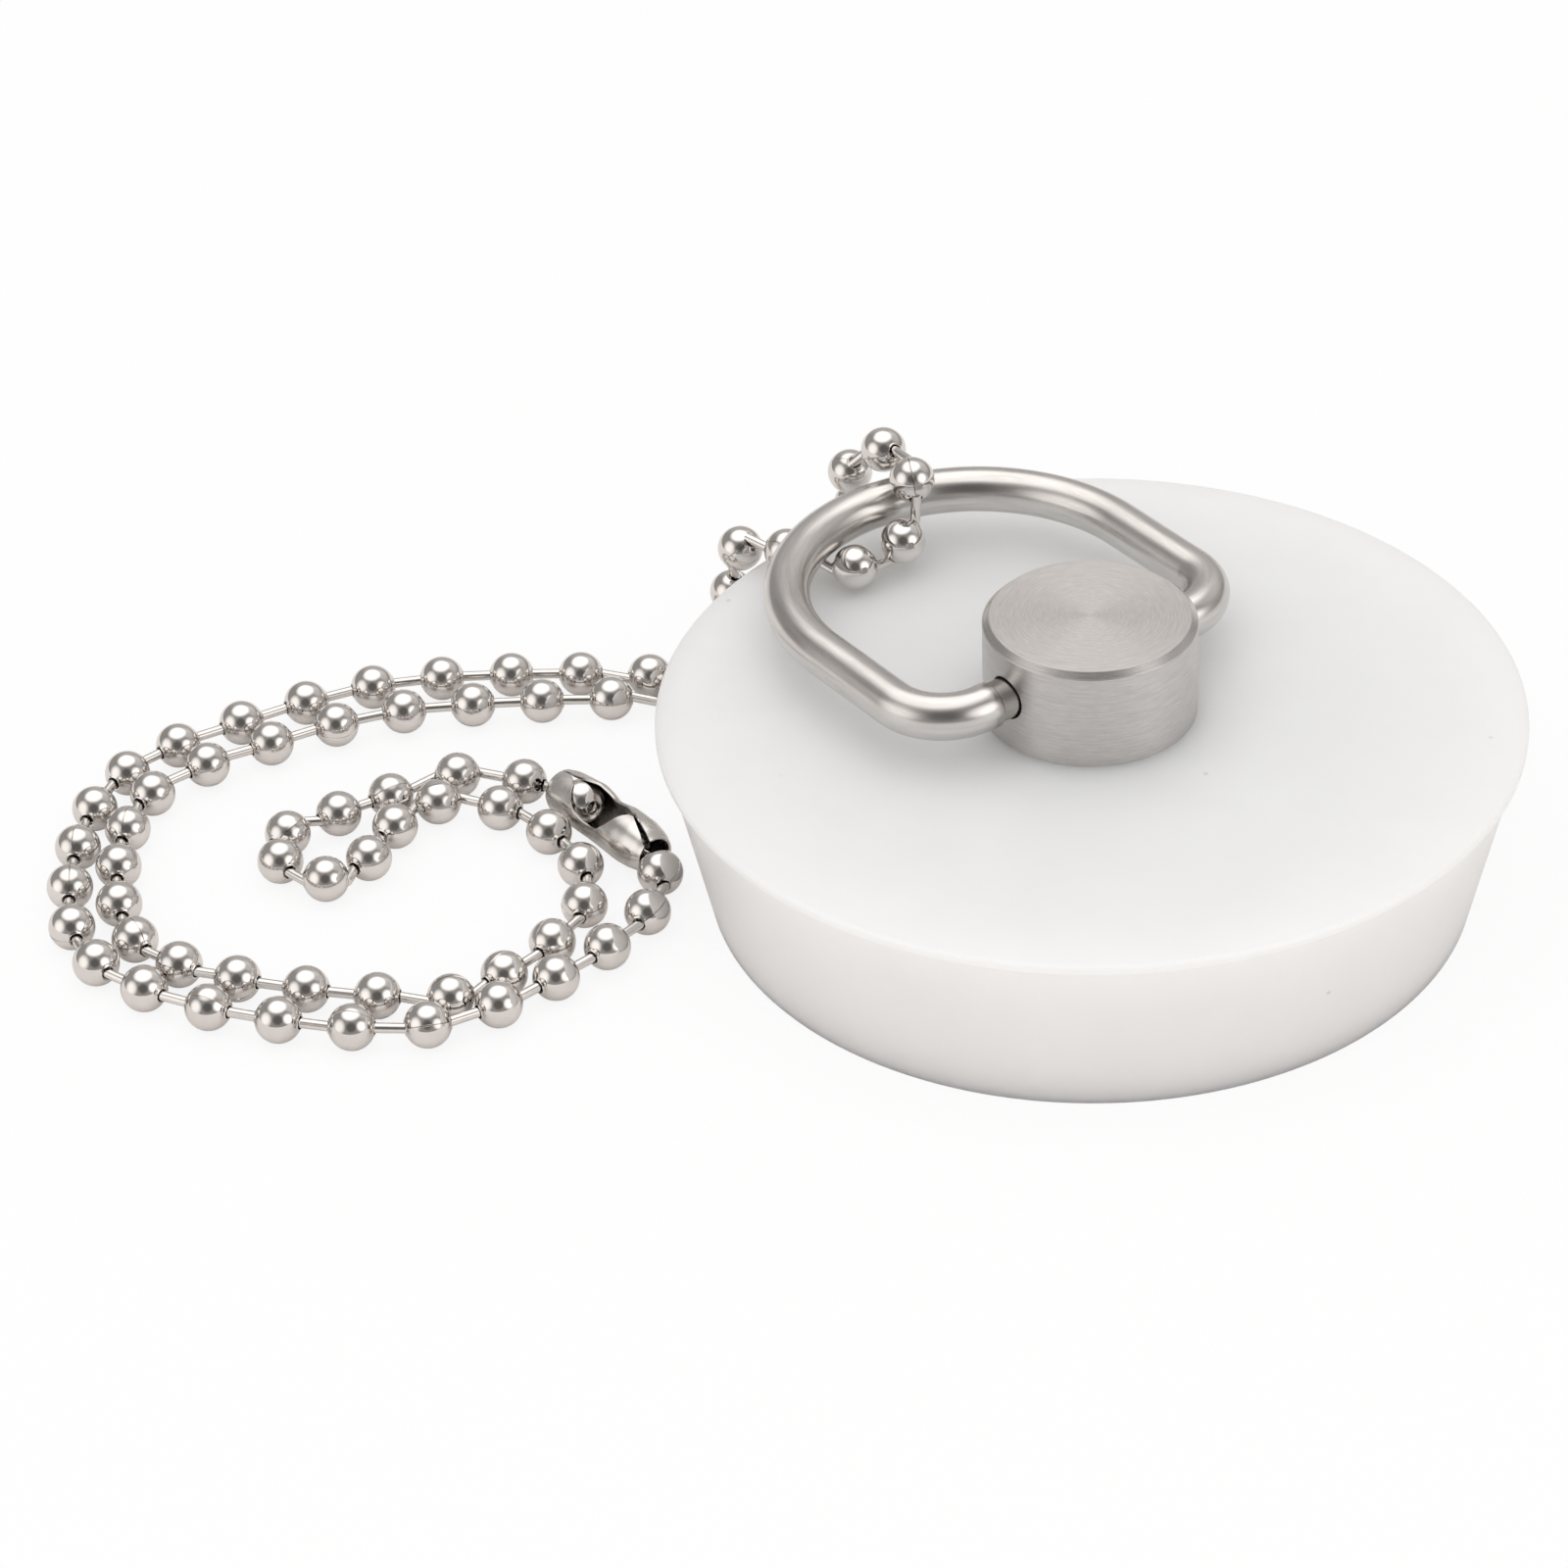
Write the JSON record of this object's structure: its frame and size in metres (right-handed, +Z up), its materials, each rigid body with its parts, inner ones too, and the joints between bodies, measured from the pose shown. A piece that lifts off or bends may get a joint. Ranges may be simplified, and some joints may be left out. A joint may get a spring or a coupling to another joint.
{
  "type": "drain stopper",
  "caption": "Tapered white silicone drain plug with a turned steel boss, a hinged wire bail and a looped ball chain joined by a clasp.",
  "frame": {"origin": "middle of the plug's flat base", "axes": "+Z up along the plug's axis; +Y points away from the picture's viewer, +X to the right"},
  "size_m": [0.0792, 0.0497, 0.0168],
  "materials": {
    "white_silicone": "satin translucent white silicone",
    "turned_steel": "turned stainless steel with fine lathe lines",
    "drawn_steel": "satin drawn stainless wire",
    "zinc_steel": "plain zinc plated steel",
    "bead_nickel": "polished nickel plate",
    "pin_steel": "polished nickel plate",
    "clasp_steel": "polished nickel plated sheet"
  },
  "bodies": {
    "stopper": {"plug_body": "white_silicone", "boss": "turned_steel", "flat_washer": "zinc_steel", "fixing_screw": "zinc_steel", "inner_riser_balls": "bead_nickel", "inner_riser_pins": "pin_steel", "inner_back_run_balls": "bead_nickel", "inner_back_run_pins": "pin_steel", "inner_left_bend_balls": "bead_nickel", "inner_left_bend_pins": "pin_steel", "inner_front_run_balls": "bead_nickel", "inner_front_run_pins": "pin_steel", "inner_right_bend_balls": "bead_nickel", "inner_right_bend_pins": "pin_steel", "inner_hook_balls": "bead_nickel", "inner_hook_pins": "pin_steel", "inner_tail_balls": "bead_nickel", "inner_tail_pins": "pin_steel", "outer_riser_balls": "bead_nickel", "outer_riser_pins": "pin_steel", "outer_back_run_balls": "bead_nickel", "outer_back_run_pins": "pin_steel", "outer_left_bend_balls": "bead_nickel", "outer_left_bend_pins": "pin_steel", "outer_front_run_balls": "bead_nickel", "outer_front_run_pins": "pin_steel", "outer_right_bend_balls": "bead_nickel", "outer_right_bend_pins": "pin_steel", "clasp_end_balls": "bead_nickel", "chain_clasp": "clasp_steel"},
    "bail": {"bail": "drawn_steel", "saddle_balls": "bead_nickel", "saddle_pins": "pin_steel"}
  },
  "joints": [
    {"name": "bail_swing", "type": "hinge", "parent": "stopper", "child": "bail", "pos_m": [0, 0, 0.0134], "axis": [0.8192, 0.5736, 0], "range_deg": [0, 177]}
  ]
}
